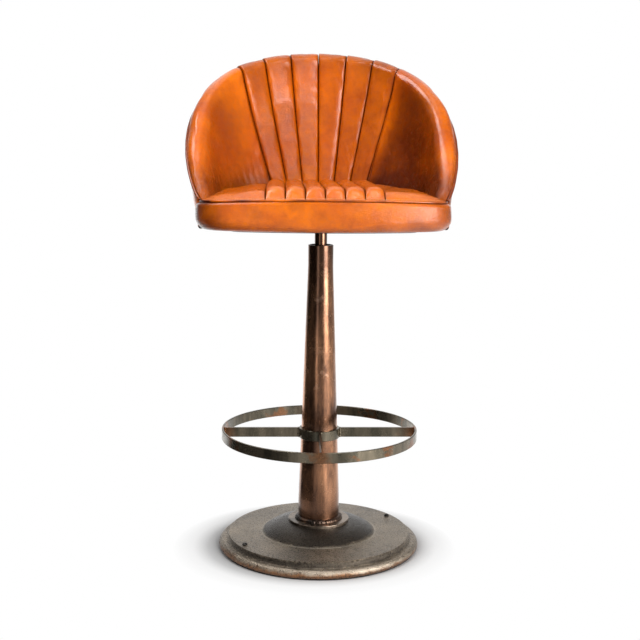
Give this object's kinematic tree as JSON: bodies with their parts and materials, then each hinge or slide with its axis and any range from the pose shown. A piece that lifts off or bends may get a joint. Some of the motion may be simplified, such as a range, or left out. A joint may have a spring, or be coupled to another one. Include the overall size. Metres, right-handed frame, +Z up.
{
  "type": "swivel counter stool",
  "caption": "Counter stool with a fluted leather tub seat that swivels on a tapered metal column, with a ring footrest and a heavy round cast base.",
  "frame": {"origin": "on the floor, on the column's axis, at the underside of the base's pad", "axes": "+Z up along the column, -Y towards the open front of the seat, +X to the right seen from the front"},
  "size_m": [0.51, 0.4911, 0.9694],
  "materials": {
    "cast_base": "rough blackened cast iron with rust at the lip",
    "floor_pad": "matt",
    "plain_steel": "plain zinc grey",
    "dark_steel": "black oxide",
    "bronzed_steel": "aged bronze patina, waxed",
    "weld_metal": "bronzed weld, lumpy and glossy",
    "ring_steel": "dark bronze patina with rust at the welds",
    "bearing_bronze": "plain turned",
    "spindle_steel": "dark bronze patina",
    "black_board": "black painted board",
    "plywood": "unfinished",
    "foam": "open-cell foam",
    "tan_leather": "glossy, waxed and creased",
    "dark_leather": "burnished"
  },
  "bodies": {
    "base": {"base_casting": "cast_base", "floor_pad": "floor_pad", "ballast_plate": "plain_steel", "ballast_screws": "dark_steel", "ballast_nuts": "plain_steel", "column_flange": "bronzed_steel", "column_weld_bead": "weld_metal", "column_tube": "bronzed_steel", "column_foot_plug": "plain_steel", "column_bolt": "plain_steel", "column_bolt_washer": "plain_steel", "bearing_housing": "dark_steel", "housing_floor": "dark_steel", "upper_bush": "bearing_bronze", "lower_bush": "bearing_bronze", "thrust_race_lower": "plain_steel", "thrust_balls": "plain_steel", "foot_ring_hoop": "ring_steel", "foot_ring_collar": "ring_steel", "foot_ring_spoke_1": "ring_steel", "foot_ring_spoke_2": "ring_steel", "foot_ring_spoke_3": "ring_steel", "foot_ring_spoke_4": "ring_steel"},
    "seat": {"spindle": "spindle_steel", "spindle_circlip": "dark_steel", "thrust_race_upper": "plain_steel", "seat_hub": "dark_steel", "seat_plate": "dark_steel", "seat_plate_screws": "dark_steel", "underside_board": "black_board", "seat_board": "plywood", "seat_foam": "foam", "seat_band": "tan_leather", "seat_welt": "dark_leather", "seat_flute_1": "tan_leather", "seat_flute_2": "tan_leather", "seat_flute_3": "tan_leather", "seat_flute_4": "tan_leather", "seat_flute_5": "tan_leather", "seat_flute_6": "tan_leather", "seat_panel_left": "tan_leather", "seat_panel_right": "tan_leather", "back_shell": "plywood", "shell_screws": "plain_steel", "back_flute_1": "tan_leather", "back_flute_2": "tan_leather", "back_flute_3": "tan_leather", "back_flute_4": "tan_leather", "back_flute_5": "tan_leather", "back_flute_6": "tan_leather", "back_wing_left": "tan_leather", "back_wing_right": "tan_leather", "back_cover": "tan_leather", "back_piping": "dark_leather"}
  },
  "joints": [
    {"name": "seat_swivel", "type": "hinge", "parent": "base", "child": "seat", "pos_m": [0, 0, 0.58], "axis": [0, 0, 1], "continuous": true}
  ]
}
